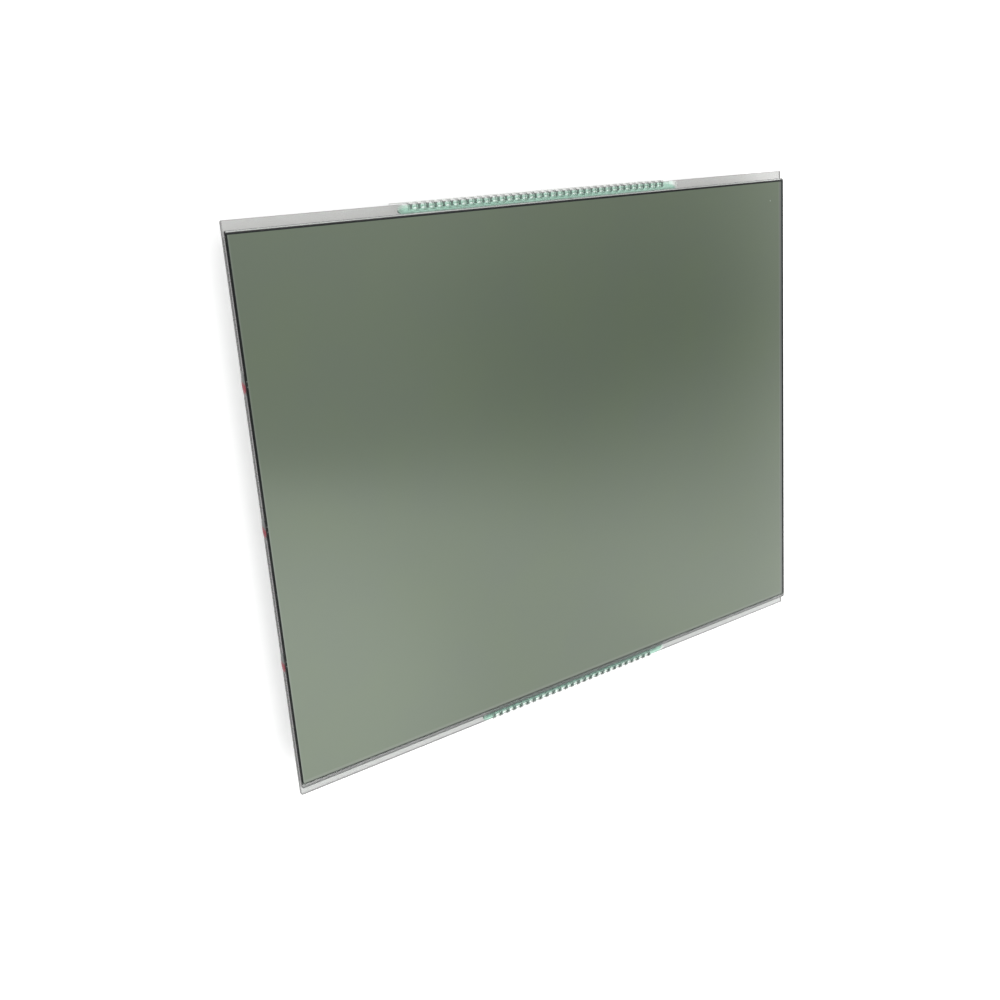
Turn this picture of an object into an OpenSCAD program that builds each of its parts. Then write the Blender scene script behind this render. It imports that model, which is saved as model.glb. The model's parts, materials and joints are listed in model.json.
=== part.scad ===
// Pinned segment display: a glass liquid crystal cell with a row of edge-clip pins
// along the top and bottom edges. The panel lies face up and stands on its pin tips.
// +X is the viewer's right, +Y the display's top, +Z the viewing direction.

/* [Glass cell] */
// Width of both glass plates
glass_w = 194; // [120:1:260]
// Height of the rear glass plate, both ledges included
rear_glass_h = 152; // [90:1:220]
// Thickness of each glass plate
glass_t = 1.1; // [0.7:0.1:2]
// Depth of the contact ledge along the top edge
top_ledge = 2.4; // [2:0.1:6]
// Depth of the contact ledge along the bottom edge
bottom_ledge = 2.5; // [2:0.1:6]
// Radius of the plates' seamed corners
corner_r = 0.4; // [0.1:0.1:2]
// Gap between the two plates
cell_gap = 0.05; // [0.02:0.01:0.2]

/* [Cell seal] */
// Width of the printed perimeter seal
seal_w = 1.5; // [0.8:0.1:3]
// Distance from the front plate's edge to the seal
seal_inset = 0.5; // [0.2:0.1:2]
// Length along each edge that the seal's corner cuts off, to leave room for a dot
seal_corner_cut = 5; // [4:0.5:10]
// Diameter of a conductive transfer dot
dot_d = 1; // [0.4:0.1:1.2]
// Distance from the front plate's edges to a transfer dot's centre
dot_inset = 1.2; // [0.8:0.1:1.4]
// Width of a fill port in the seal
port_w = 4; // [2:0.5:8]
// Height of the middle fill port above the plates' centre line
middle_port_y = 0.3; // [-10:0.1:10]
// Distance between fill ports
port_spacing = 37; // [15:0.5:38]
// Length of an end seal's bead along the glass edge
bead_l = 6; // [4.5:0.5:12]
// Height of an end seal's bead over the two plate edges
bead_h = 2; // [1:0.1:2.2]
// How far an end seal's bead stands out of the glass edge
bead_out = 0.4; // [0.2:0.05:0.8]

/* [Films] */
// Thickness of each polarizing film with its adhesive
film_t = 0.2; // [0.1:0.05:0.4]
// Bare glass beside the front film at the left and right
front_film_side = 0.25; // [0:0.05:3]
// Bare glass above the front film, on the front plate
front_film_top = 0.7; // [0:0.1:4]
// Bare glass below the front film, on the front plate
front_film_bottom = 1.2; // [0:0.1:4]
// Thickness of the reflector behind the rear film
reflector_t = 0.15; // [0.05:0.05:0.5]
// Bare glass beside the rear films at the left and right
rear_film_side = 0.5; // [0:0.1:5]
// Gap between the pins' rear fingers and the rear films
rear_film_gap = 1.8; // [0.5:0.1:5]

/* [Pins] */
// Distance from one pin to the next
pin_pitch = 2.54; // [1.8:0.01:4]
// Number of pins along the top edge
top_pin_count = 36; // [2:1:40]
// Number of pins along the bottom edge
bottom_pin_count = 26; // [2:1:40]
// Offset of both rows from the panel's centre line
pin_row_shift = -0.75; // [-5:0.05:5]
// Thickness of the pins' sheet metal
pin_t = 0.3; // [0.2:0.05:0.5]
// Width of the clip where it wraps the glass edge
clip_w = 1; // [0.9:0.05:1.4]
// Gap between the clip and the glass edge
clip_gap = 0.05; // [0.02:0.01:0.2]
// Length of the clip's full width on the ledge, from the glass edge
clip_root_l = 0.3; // [0.1:0.05:0.6]
// Width of the contact finger on the ledge
finger_w = 0.6; // [0.4:0.05:0.8]
// Length of the contact finger on the ledge, from the glass edge
finger_l = 1.5; // [1:0.1:1.9]
// Width of each of the two fingers behind the glass
rear_finger_w = 0.22; // [0.1:0.02:0.24]
// Length of the fingers behind the glass, from the glass edge
rear_finger_l = 2.2; // [1:0.1:4]
// Width of a pin's leg
leg_w = 0.5; // [0.3:0.05:0.8]
// Length of a leg below the rear glass plate
leg_l = 9.7; // [4:0.1:15]
// Length of the leg's tapered tip
tip_taper_l = 0.8; // [0.2:0.1:2]

/* [Resin over the pins] */
// Height of the resin against the front plate's edge
resin_h = 0.85; // [0.5:0.05:1.1]
// Height of the resin at its outer edge
resin_edge_h = 0.42; // [0.3:0.01:0.45]
// Bare ledge outside the resin
resin_setback = 0.2; // [0.05:0.05:0.4]
// Resin left on each side of a finger
resin_cover = 0.05; // [0.02:0.01:0.15]
// Length of resin past the first pin
resin_lead = 4.2; // [2:0.1:10]
// Length of resin past the last pin
resin_tail = 6.5; // [2:0.1:15]
// Radius of the resin's outer corners
resin_corner_r = 1; // [0.3:0.1:1.4]

/* [Hidden] */
$fn = 64;

// Heights of the layers above the pin tips
rear_back_z = leg_l;
ledge_z = rear_back_z + glass_t;
front_back_z = ledge_z + cell_gap;
front_face_z = front_back_z + glass_t;
cell_mid_z = ledge_z + cell_gap / 2;

// The front plate covers the rear one apart from the two ledges
front_glass_h = rear_glass_h - top_ledge - bottom_ledge;
front_glass_y = (bottom_ledge - top_ledge) / 2;

// Films
front_film_w = glass_w - 2 * front_film_side;
front_film_h = front_glass_h - front_film_top - front_film_bottom;
front_film_y = front_glass_y + (front_film_bottom - front_film_top) / 2;
rear_film_w = glass_w - 2 * rear_film_side;
rear_film_h = rear_glass_h - 2 * (rear_finger_l + rear_film_gap);

// Seal: an octagon's chamfer shrinks by this share of any inset, which keeps its width even
chamfer_share = 2 - sqrt(2);
seal_inner_cut = seal_corner_cut - chamfer_share * seal_w;
port_l = seal_inset + seal_w;

// Arcs of a bead: the radius that gives a chord's length and its rise
function arc_radius(chord, rise) = (chord * chord / 4 + rise * rise) / (2 * rise);

// Resin: bare bays between the pins
bay_r = (pin_pitch - finger_w) / 2 - resin_cover;

// A flat plate centred on x = 0 with rounded corners
module plate(w, h, t, r) {
    linear_extrude(t) {
        square([w - 2 * r, h], center = true);
        square([w, h - 2 * r], center = true);
        for (sx = [-1, 1], sy = [-1, 1])
            translate([sx * (w / 2 - r), sy * (h / 2 - r)]) circle(r);
    }
}

// The cell's octagonal outline, a given distance inside the front plate's edges
module cell_outline(inset, cut) {
    x = glass_w / 2 - inset;
    y = front_glass_h / 2 - inset;
    polygon([[-x + cut, -y], [x - cut, -y], [x, -y + cut], [x, y - cut],
             [x - cut, y], [-x + cut, y], [-x, y - cut], [-x, -y + cut]]);
}

// Moves a layer of the cell to the gap between the plates
module in_cell() {
    translate([0, front_glass_y, ledge_z]) children();
}

// Moves a child to the left glass edge at one fill port
module at_port(i) {
    translate([-glass_w / 2, middle_port_y + i * port_spacing, 0]) children();
}

module front_polarizer() {
    color([0.45, 0.49, 0.44])
        translate([0, front_film_y, front_face_z])
            plate(front_film_w, front_film_h, film_t, corner_r);
}

module front_glass() {
    color([0.78, 0.86, 0.83, 0.5])
        translate([0, front_glass_y, front_back_z])
            plate(glass_w, front_glass_h, glass_t, corner_r);
}

module liquid_crystal() {
    color([0.62, 0.66, 0.55])
        in_cell()
            linear_extrude(cell_gap)
                cell_outline(seal_inset + seal_w, seal_inner_cut);
}

module perimeter_seal() {
    color([0.82, 0.82, 0.78])
        difference() {
            in_cell()
                linear_extrude(cell_gap)
                    difference() {
                        cell_outline(seal_inset, seal_corner_cut);
                        cell_outline(seal_inset + seal_w, seal_inner_cut);
                    }
            for (i = [-1:1])
                at_port(i)
                    translate([-1, -port_w / 2, ledge_z - 1])
                        cube([port_l + 2, port_w, cell_gap + 2]);
        }
}

module transfer_dots() {
    color([0.7, 0.7, 0.72])
        in_cell()
            for (sx = [-1, 1], sy = [-1, 1])
                translate([sx * (glass_w / 2 - dot_inset), sy * (front_glass_h / 2 - dot_inset), 0])
                    cylinder(d = dot_d, h = cell_gap);
}

// Cured adhesive: a tongue through the seal's port and a cushion-shaped bead over the plate edges
module end_seal(i) {
    along_r = arc_radius(bead_l, bead_out);
    across_r = arc_radius(bead_h, bead_out);
    color([0.55, 0.24, 0.27])
        at_port(i) {
            translate([0, -port_w / 2, ledge_z]) cube([port_l, port_w, cell_gap]);
            intersection() {
                translate([along_r - bead_out, 0, cell_mid_z])
                    cylinder(r = along_r, h = 2 * bead_h, center = true, $fn = 256);
                translate([across_r - bead_out, 0, cell_mid_z])
                    rotate([90, 0, 0]) cylinder(r = across_r, h = 2 * bead_l, center = true);
                translate([-2 * bead_out, -bead_l, cell_mid_z - bead_h])
                    cube([2 * bead_out, 2 * bead_l, 2 * bead_h]);
            }
        }
}

module rear_glass() {
    color([0.74, 0.83, 0.8, 0.5])
        translate([0, 0, rear_back_z])
            plate(glass_w, rear_glass_h, glass_t, corner_r);
}

module rear_polarizer() {
    color([0.35, 0.38, 0.36])
        translate([0, 0, rear_back_z - film_t])
            plate(rear_film_w, rear_film_h, film_t, corner_r);
}

module reflector() {
    color([0.75, 0.76, 0.74])
        translate([0, 0, rear_back_z - film_t - reflector_t])
            plate(rear_film_w, rear_film_h, reflector_t, corner_r);
}

// The flat contact finger and the clip's root on the ledge; +Y points out of the glass edge
module contact_finger(root_out) {
    translate([-clip_w / 2, -clip_root_l, ledge_z])
        cube([clip_w, clip_root_l + root_out, pin_t]);
    translate([0, 0, ledge_z])
        linear_extrude(pin_t) {
            translate([-finger_w / 2, -finger_l + finger_w / 2])
                square([finger_w, finger_l - finger_w / 2]);
            translate([0, -finger_l + finger_w / 2]) circle(d = finger_w);
        }
}

// A clip pin: finger on the ledge, web round the glass edge, two fingers behind, one leg
module clip_pin() {
    web_bottom_z = rear_back_z - pin_t;
    contact_finger(clip_gap);
    intersection() {
        translate([0, clip_gap, ledge_z])
            rotate([0, 90, 0]) cylinder(r = pin_t, h = clip_w, center = true);
        translate([-clip_w / 2, clip_gap, ledge_z]) cube([clip_w, pin_t, pin_t]);
    }
    translate([-clip_w / 2, clip_gap, web_bottom_z])
        cube([clip_w, pin_t, ledge_z - web_bottom_z]);
    for (sx = [-1, 1])
        translate([sx * (clip_w - rear_finger_w) / 2 - rear_finger_w / 2, -rear_finger_l, web_bottom_z])
            cube([rear_finger_w, rear_finger_l + clip_gap, pin_t]);
    translate([0, clip_gap + pin_t, 0])
        rotate([90, 0, 0])
            linear_extrude(pin_t)
                polygon([[-leg_w / 2, web_bottom_z], [-leg_w / 2, tip_taper_l], [-leg_w / 4, 0],
                         [leg_w / 4, 0], [leg_w / 2, tip_taper_l], [leg_w / 2, web_bottom_z]]);
}

// Places a child at each pin of a row
module each_pin(count) {
    for (i = [0:count - 1])
        translate([pin_row_shift + (i - (count - 1) / 2) * pin_pitch, 0, 0]) children();
}

// Plan of the resin: a strip with round outer corners and a bare bay between each two pins
module resin_plan(count, ledge) {
    row_half = (count - 1) / 2 * pin_pitch;
    x0 = pin_row_shift - row_half - resin_lead;
    x1 = pin_row_shift + row_half + resin_tail;
    depth = ledge - resin_setback;
    difference() {
        union() {
            translate([x0 + resin_corner_r, -ledge])
                square([x1 - x0 - 2 * resin_corner_r, depth]);
            translate([x0, -ledge]) square([x1 - x0, depth - resin_corner_r]);
            for (x = [x0 + resin_corner_r, x1 - resin_corner_r])
                translate([x, -resin_setback - resin_corner_r]) circle(resin_corner_r);
        }
        for (i = [0:count - 2])
            translate([pin_row_shift - row_half + (i + 0.5) * pin_pitch, -resin_setback])
                circle(bay_r);
    }
}

// Resin over one row: it falls from the front plate's edge towards the glass edge
module pin_resin(count, ledge) {
    color([0.4, 0.62, 0.53])
        difference() {
            translate([0, 0, ledge_z]) linear_extrude(resin_h) resin_plan(count, ledge);
            translate([0, 0, ledge_z])
                rotate([90, 0, 90])
                    linear_extrude(2 * glass_w, center = true)
                        polygon([[-ledge, resin_h], [-resin_setback, resin_edge_h],
                                 [1, resin_edge_h], [1, resin_h + 1], [-ledge, resin_h + 1]]);
            each_pin(count) contact_finger(1);
        }
}

// Moves a row's child to the top glass edge, or mirrors it to the bottom one
module at_top() {
    translate([0, rear_glass_h / 2, 0]) children();
}

module at_bottom() {
    translate([0, -rear_glass_h / 2, 0]) mirror([0, 1, 0]) children();
}

module top_pins() {
    color([0.45, 0.46, 0.46]) at_top() each_pin(top_pin_count) clip_pin();
}

module bottom_pins() {
    color([0.45, 0.46, 0.46]) at_bottom() each_pin(bottom_pin_count) clip_pin();
}

module top_pin_resin() {
    at_top() pin_resin(top_pin_count, top_ledge);
}

module bottom_pin_resin() {
    at_bottom() pin_resin(bottom_pin_count, bottom_ledge);
}

front_polarizer();
front_glass();
liquid_crystal();
perimeter_seal();
transfer_dots();
end_seal(1);  // end_seal_upper
end_seal(0);  // end_seal_middle
end_seal(-1);  // end_seal_lower
rear_glass();
rear_polarizer();
reflector();
top_pins();
bottom_pins();
top_pin_resin();
bottom_pin_resin();
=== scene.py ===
import json
import math

import bmesh
import bpy
from mathutils import Matrix, Vector


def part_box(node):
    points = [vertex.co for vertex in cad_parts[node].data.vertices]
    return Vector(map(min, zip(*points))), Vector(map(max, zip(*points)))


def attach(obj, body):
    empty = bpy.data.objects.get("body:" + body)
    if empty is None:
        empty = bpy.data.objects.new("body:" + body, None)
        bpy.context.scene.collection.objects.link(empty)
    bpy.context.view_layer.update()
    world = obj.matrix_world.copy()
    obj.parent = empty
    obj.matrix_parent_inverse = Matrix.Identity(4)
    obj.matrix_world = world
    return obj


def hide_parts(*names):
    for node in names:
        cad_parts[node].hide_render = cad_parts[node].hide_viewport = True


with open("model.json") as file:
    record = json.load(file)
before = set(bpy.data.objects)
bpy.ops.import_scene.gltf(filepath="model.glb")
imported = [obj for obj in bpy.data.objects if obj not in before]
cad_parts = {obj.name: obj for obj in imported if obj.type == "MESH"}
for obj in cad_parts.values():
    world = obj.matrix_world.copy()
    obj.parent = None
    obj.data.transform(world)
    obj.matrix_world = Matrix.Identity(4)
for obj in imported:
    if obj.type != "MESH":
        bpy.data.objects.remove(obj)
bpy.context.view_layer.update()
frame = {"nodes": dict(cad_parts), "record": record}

# Camera
# It looks down on the panel from its upper left, with the display's top edge upwards in the picture.
MM = 0.001
glass_low, glass_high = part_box("rear_glass")
ledge_z = glass_high.z
panel_centre = Vector((0, 0, ledge_z))
CAMERA_OFFSET = Vector((-197.96, 80.86, 253.46)) * MM
AIM_OFFSET = Vector((-24.4, -8.9, 0)) * MM
CAMERA_ROLL = math.radians(4.43)
FOCAL_MM = 39.68

camera = bpy.data.objects.new("camera", bpy.data.cameras.new("camera"))
camera.data.lens = FOCAL_MM
camera.data.sensor_width = 36
camera.data.clip_start = 0.01
view_axis = (AIM_OFFSET - CAMERA_OFFSET).normalized()
picture_right = view_axis.cross(Vector((0, 1, 0))).normalized()
picture_up = picture_right.cross(view_axis)
turned = Matrix((picture_right, picture_up, -view_axis)).transposed()
turned = Matrix.Rotation(CAMERA_ROLL, 3, view_axis) @ turned
camera.matrix_world = Matrix.Translation(panel_centre + CAMERA_OFFSET) @ turned.to_4x4()
bpy.context.scene.collection.objects.link(camera)
bpy.context.scene.camera = camera
bpy.context.scene.view_settings.view_transform = "Standard"


# Floor and light
# A plain white floor in a soft white room that is brighter overhead. A broad soft window, two pale
# cards and a grey one beyond the display's lower right corner show in the satin film.
FLOOR_SIZE = 4.0
FLOOR_COLOR = (0.88, 0.88, 0.88, 1)
FLOOR_LIFT = 0.36
FLOOR_LIFT_DIRECT = 0.28
ROOM_LEVEL = 0.5
OVERHEAD_LEVEL = 0.7
BACK_LEVEL = 0.4
WINDOW_LEVEL = 1.75
WINDOW_HEADING = (0.5, -0.55, 0.67)
WINDOW_TOP_NORMAL = (0.214, 0.961, 0.173)
WINDOW_BLUR = 0.012
FAR_BLUR = 0.13
# Each card's heading and its level.
CARDS = (((0.34, -0.44, 0.83), 0.85), ((0.713, -0.29, 0.637), 0.42), ((0.65, -0.13, 0.75), -0.34))
FAR_WALL_LEVEL = 0.5
DOORWAY_LEVEL = 0.75
OVERHEAD_FADE = (0.6, 0.95)
BACK_FADE = (0.12, 0.3)
BLUR_FADE = (0.35, 0.75)
WINDOW_FADE = (0.707, 0.883)
CARD_FADE = (math.cos(math.radians(11)), math.cos(math.radians(3)))
FAR_WALL_FADE = (0.7, 0.77)
DOORWAY_FADE = (1.13, 1.23)
SILL_FADE = (0.4, 0.54)
LEAST_RISE = 0.05
LAMP_OFFSET = Vector((-0.25, 0.55, 0.75))
LAMP_SIZE = (0.45, 0.3)
LAMP_RADIANCE = 2.0


def add(tree, kind, inputs=(), **settings):
    """Adds a node with its settings, and links or sets its inputs."""
    new = tree.nodes.new(kind)
    for key, value in settings.items():
        setattr(new, key, value)
    for key, value in dict(inputs).items():
        if isinstance(value, bpy.types.NodeSocket):
            tree.links.new(value, new.inputs[key])
        else:
            new.inputs[key].default_value = value
    return new


def maths(tree, operation, *values):
    """Adds one Math node and returns its result."""
    return add(tree, "ShaderNodeMath", enumerate(values), operation=operation).outputs[0]


def white_floor():
    """Matte white, lifted a little for the camera, glass and metal, so that its shadow stays."""
    material = bpy.data.materials.new("floor_white")
    material.use_nodes = True
    tree = material.node_tree
    tree.nodes.clear()
    paint = add(tree, "ShaderNodeBsdfDiffuse", {"Color": FLOOR_COLOR})
    ray = add(tree, "ShaderNodeLightPath")
    direct = maths(tree, "MULTIPLY", ray.outputs["Is Camera Ray"], FLOOR_LIFT_DIRECT)
    seen = maths(tree, "MAXIMUM", ray.outputs["Is Transmission Ray"], ray.outputs["Is Glossy Ray"])
    seen = maths(tree, "MAXIMUM", maths(tree, "MULTIPLY", seen, FLOOR_LIFT), direct)
    lift = add(tree, "ShaderNodeEmission", {"Strength": seen})
    both = add(tree, "ShaderNodeAddShader", {0: paint.outputs[0], 1: lift.outputs[0]})
    add(tree, "ShaderNodeOutputMaterial", {"Surface": both.outputs[0]})
    return material


def link_mesh(name, bm, *materials):
    """Turns a bmesh into an object of that name."""
    mesh = bpy.data.meshes.new(name)
    bm.to_mesh(mesh)
    bm.free()
    for material in materials:
        mesh.materials.append(material)
    piece = bpy.data.objects.new(name, mesh)
    bpy.context.scene.collection.objects.link(piece)
    return piece


floor_mesh = bmesh.new()
bmesh.ops.create_grid(floor_mesh, x_segments=1, y_segments=1, size=FLOOR_SIZE / 2)
floor = link_mesh("floor", floor_mesh, white_floor())


def soft_step(tree, value, start, end):
    """0 at the start and 1 at the end, with a smooth passage between them."""
    step = add(tree, "ShaderNodeMapRange", {"Value": value, "From Min": start, "From Max": end},
               interpolation_type="SMOOTHSTEP")
    return step.outputs[0]


def along(tree, direction, heading):
    """How far a direction points along a heading."""
    dot = add(tree, "ShaderNodeVectorMath", {0: direction, 1: heading}, operation="DOT_PRODUCT")
    return dot.outputs["Value"]


def soft_room():
    """The white room with its bright ceiling, soft window, cards, far wall and doorway. The window
    blurs with distance, and nothing but the room's own white is under the sill."""
    room = bpy.data.worlds.new("room")
    room.use_nodes = True
    tree = room.node_tree
    direction = add(tree, "ShaderNodeTexCoord").outputs["Generated"]
    rightward = along(tree, direction, (1, 0, 0))
    upward = along(tree, direction, (0, 0, 1))
    overhead = soft_step(tree, upward, *OVERHEAD_FADE)
    over_top = along(tree, direction, WINDOW_TOP_NORMAL)
    behind = soft_step(tree, over_top, *BACK_FADE)
    far = soft_step(tree, rightward, *BLUR_FADE)
    blur = maths(tree, "MULTIPLY_ADD", far, FAR_BLUR, WINDOW_BLUR)
    under_top = soft_step(tree, maths(tree, "DIVIDE", over_top, blur), 1.0, -1.0)
    round_window = soft_step(tree, along(tree, direction, WINDOW_HEADING), *WINDOW_FADE)
    window = maths(tree, "MULTIPLY", under_top, round_window)
    pane = maths(tree, "MULTIPLY", window, WINDOW_LEVEL)
    for heading, strength in CARDS:
        card = soft_step(tree, along(tree, direction, heading), *CARD_FADE)
        pane = maths(tree, "MULTIPLY_ADD", card, strength, pane)
    far_wall = soft_step(tree, rightward, *FAR_WALL_FADE)
    pane = maths(tree, "MULTIPLY_ADD", far_wall, FAR_WALL_LEVEL, pane)
    slant = maths(tree, "DIVIDE", rightward, maths(tree, "MAXIMUM", upward, LEAST_RISE))
    doorway = soft_step(tree, slant, *DOORWAY_FADE)
    pane = maths(tree, "MULTIPLY_ADD", doorway, DOORWAY_LEVEL, pane)
    over_sill = soft_step(tree, upward, *SILL_FADE)
    level = maths(tree, "MULTIPLY_ADD", overhead, OVERHEAD_LEVEL, ROOM_LEVEL)
    level = maths(tree, "MULTIPLY_ADD", behind, BACK_LEVEL, level)
    level = maths(tree, "MULTIPLY_ADD", pane, over_sill, level)
    ray = add(tree, "ShaderNodeLightPath")
    level = add(tree, "ShaderNodeMix", {"Factor": ray.outputs["Is Camera Ray"], "A": level, "B": 1.0})
    light = tree.nodes["Background"]
    light.inputs["Color"].default_value = (1, 1, 1, 1)
    tree.links.new(level.outputs["Result"], light.inputs["Strength"])
    return room


bpy.context.scene.world = soft_room()

lamp_data = bpy.data.lights.new("softbox", "AREA")
lamp_data.shape = "RECTANGLE"
lamp_data.size, lamp_data.size_y = LAMP_SIZE
lamp_data.energy = LAMP_RADIANCE * math.pi * LAMP_SIZE[0] * LAMP_SIZE[1]
lamp = bpy.data.objects.new("softbox", lamp_data)
lamp.location = panel_centre + LAMP_OFFSET
lamp.rotation_euler = (-LAMP_OFFSET).to_track_quat("-Z", "Y").to_euler()
bpy.context.scene.collection.objects.link(lamp)


# Rear glass plate
# Soda-lime float glass, scribed and broken to size, with its sharp edges seamed by a fine stone.
# It is taller than the front plate, and the bare strips at its top and bottom carry the pins.
SEAM = 0.14 * MM
CORNER = 0.45 * MM
CORNER_STEPS = 8
CONTACT_GAP = 0.002 * MM
front_low, front_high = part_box("front_glass")
film_low, film_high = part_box("front_polarizer")
GLASS_CLEAR = (0.95, 0.98, 0.965, 1)
GLASS_COATED = (0.47, 0.47, 0.46, 1)
GLASS_COATED_LOW = (0.39, 0.4, 0.39, 1)
GLASS_SHADED = (0.15, 0.21, 0.18, 1)
GLASS_DEPTH_COLOR = (0.78, 0.93, 0.88, 1)
GLASS_DEPTH_DENSITY = 6.0
# Black at the front plate's two ends, and the painted shadow line along the film's top edge.
GLASS_RIM_AND_SHADOW = (0.02, 0.02, 0.02, 1)
# The greys of the two plates' cut sides, from the rear face up to the front face.
SIDE_TONES = ((0.0, 0.13), (0.16, 0.13), (0.3, 0.15), (0.52, 0.2), (0.74, 0.31), (0.84, 0.1),
              (1.0, 0.02))
SIDE_OPACITY = 0.8
SIDE_ROUGHNESS = 0.6
FACE_ROUGHNESS = 0.05
HACKLE_SCALE = 2600.0
HACKLE_STRENGTH = 0.3
HACKLE_DEPTH = 0.02 * MM
WIPE_SCALE = 90.0
WET_END = 0.3 * MM
WET_FADE = 2.3 * MM
LEDGE_MARGIN = 0.02 * MM
PLATE_MARGIN = 0.01 * MM
FOOT_HEIGHT = 1.2 * MM
FOOT_FADE = 0.3 * MM
RIM_WIDTH = 0.26 * MM
RIM_FADE = 0.1 * MM
# Width and fade of the painted black shadow line along the film's top edge.
SHADOW_LINE_WIDTH = 0.24 * MM
SHADOW_LINE_FADE = 0.12 * MM


def blend(tree, share, one, other):
    """The first tone at a share of 0, the other at 1."""
    mix = add(tree, "ShaderNodeMix", {"Factor": share, "A": one, "B": other}, data_type="RGBA")
    return mix.outputs["Result"]


def bare_or_coated(tree, spot):
    """The rear plate is grey with its conductive coating, but clear where resin wets it. The front
    plate is clear, with a grey foot that carries a painted green shade along the bottom pins, black
    at its two ends, and a painted black shadow line along the film's top edge."""
    wet = None
    for side in ("top", "bottom"):
        resin_low, resin_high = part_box(side + "_pin_resin")
        middle = (resin_low.x + resin_high.x) / 2
        off = maths(tree, "ABSOLUTE", maths(tree, "SUBTRACT", spot.outputs["X"], middle))
        half = resin_high.x - middle
        within = soft_step(tree, off, half - WET_END, half - WET_END - WET_FADE)
        if side == "top":
            on_side = maths(tree, "GREATER_THAN", spot.outputs["Y"], front_high.y + LEDGE_MARGIN)
        else:
            on_side = maths(tree, "LESS_THAN", spot.outputs["Y"], front_low.y - LEDGE_MARGIN)
            beside_row = within
        row = maths(tree, "MULTIPLY", within, on_side)
        wet = row if wet is None else maths(tree, "MAXIMUM", wet, row)
    on_front = maths(tree, "GREATER_THAN", spot.outputs["Z"], front_low.z - PLATE_MARGIN)
    at_foot = soft_step(tree, spot.outputs["Y"], front_low.y + FOOT_HEIGHT + FOOT_FADE,
                        front_low.y + FOOT_HEIGHT)
    over_foot = maths(tree, "SUBTRACT", on_front, maths(tree, "MULTIPLY", at_foot, on_front))
    uncoated = maths(tree, "MAXIMUM", wet, over_foot)
    low = soft_step(tree, spot.outputs["Y"], 0.0, front_low.y)
    coated = blend(tree, low, GLASS_COATED, GLASS_COATED_LOW)
    tone = blend(tree, uncoated, coated, GLASS_CLEAR)
    # Painted green shade on the front plate's grey foot, along the bottom row of pins.
    shaded = maths(tree, "MULTIPLY", maths(tree, "MULTIPLY", at_foot, on_front), beside_row)
    tone = blend(tree, shaded, tone, GLASS_SHADED)
    from_end = maths(tree, "SUBTRACT", front_high.x, maths(tree, "ABSOLUTE", spot.outputs["X"]))
    at_end = soft_step(tree, from_end, RIM_WIDTH + RIM_FADE, RIM_WIDTH)
    # A painted black shadow line along the film's top edge, joined to the black at the plate's ends.
    off_film = maths(tree, "ABSOLUTE", maths(tree, "SUBTRACT", spot.outputs["Y"], film_high.y))
    shadow_line = soft_step(tree, off_film, SHADOW_LINE_WIDTH + SHADOW_LINE_FADE, SHADOW_LINE_WIDTH)
    black = maths(tree, "MULTIPLY", maths(tree, "MAXIMUM", at_end, shadow_line), over_foot)
    return blend(tree, black, tone, GLASS_RIM_AND_SHADOW)


def cut_glass():
    """Clear polished faces; the cut sides carry a fine hackle that dulls them."""
    material = bpy.data.materials.new("cut_glass")
    material.use_nodes = True
    tree = material.node_tree
    bsdf = tree.nodes["Principled BSDF"]
    bsdf.inputs["IOR"].default_value = 1.52
    place = add(tree, "ShaderNodeTexCoord")
    facing = add(tree, "ShaderNodeSeparateXYZ", {0: place.outputs["Normal"]})
    side = maths(tree, "SUBTRACT", 1.0, maths(tree, "ABSOLUTE", facing.outputs["Z"]))
    spot = add(tree, "ShaderNodeSeparateXYZ", {0: place.outputs["Object"]})
    level = add(tree, "ShaderNodeMapRange", {"Value": spot.outputs["Z"], "From Min": glass_low.z,
                                             "From Max": front_high.z})
    tones = add(tree, "ShaderNodeValToRGB", {"Fac": level.outputs[0]})
    stops = tones.color_ramp.elements
    while len(stops) < len(SIDE_TONES):
        stops.new(0.5)
    for stop, (position, tone) in zip(stops, SIDE_TONES):
        stop.position = position
        stop.color = (tone, tone, tone, 1)
    face_tone = bare_or_coated(tree, spot)
    tree.links.new(blend(tree, side, face_tone, tones.outputs[0]), bsdf.inputs["Base Color"])
    clear = maths(tree, "SUBTRACT", 1.0, maths(tree, "MULTIPLY", side, SIDE_OPACITY))
    tree.links.new(clear, bsdf.inputs["Transmission Weight"])
    hackle_scale = add(tree, "ShaderNodeMapping", {"Vector": place.outputs["Object"],
                                                   "Scale": (1, 1, 0.25)})
    hackle = add(tree, "ShaderNodeTexNoise", {"Vector": hackle_scale.outputs[0],
                                              "Scale": HACKLE_SCALE, "Detail": 4.0})
    wipe = add(tree, "ShaderNodeTexNoise", {"Vector": place.outputs["Object"],
                                            "Scale": WIPE_SCALE, "Detail": 3.0})
    on_side = maths(tree, "MULTIPLY", hackle.outputs[0], side)
    face_rough = maths(tree, "MULTIPLY", wipe.outputs[0], FACE_ROUGHNESS)
    side_rough = maths(tree, "MULTIPLY", on_side, SIDE_ROUGHNESS)
    tree.links.new(maths(tree, "ADD", face_rough, side_rough), bsdf.inputs["Roughness"])
    bump = add(tree, "ShaderNodeBump", {"Height": on_side, "Strength": HACKLE_STRENGTH,
                                        "Distance": HACKLE_DEPTH})
    tree.links.new(bump.outputs[0], bsdf.inputs["Normal"])
    deep = add(tree, "ShaderNodeVolumeAbsorption", {"Color": GLASS_DEPTH_COLOR,
                                                    "Density": GLASS_DEPTH_DENSITY})
    tree.links.new(deep.outputs[0], tree.nodes["Material Output"].inputs["Volume"])
    return material


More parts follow.
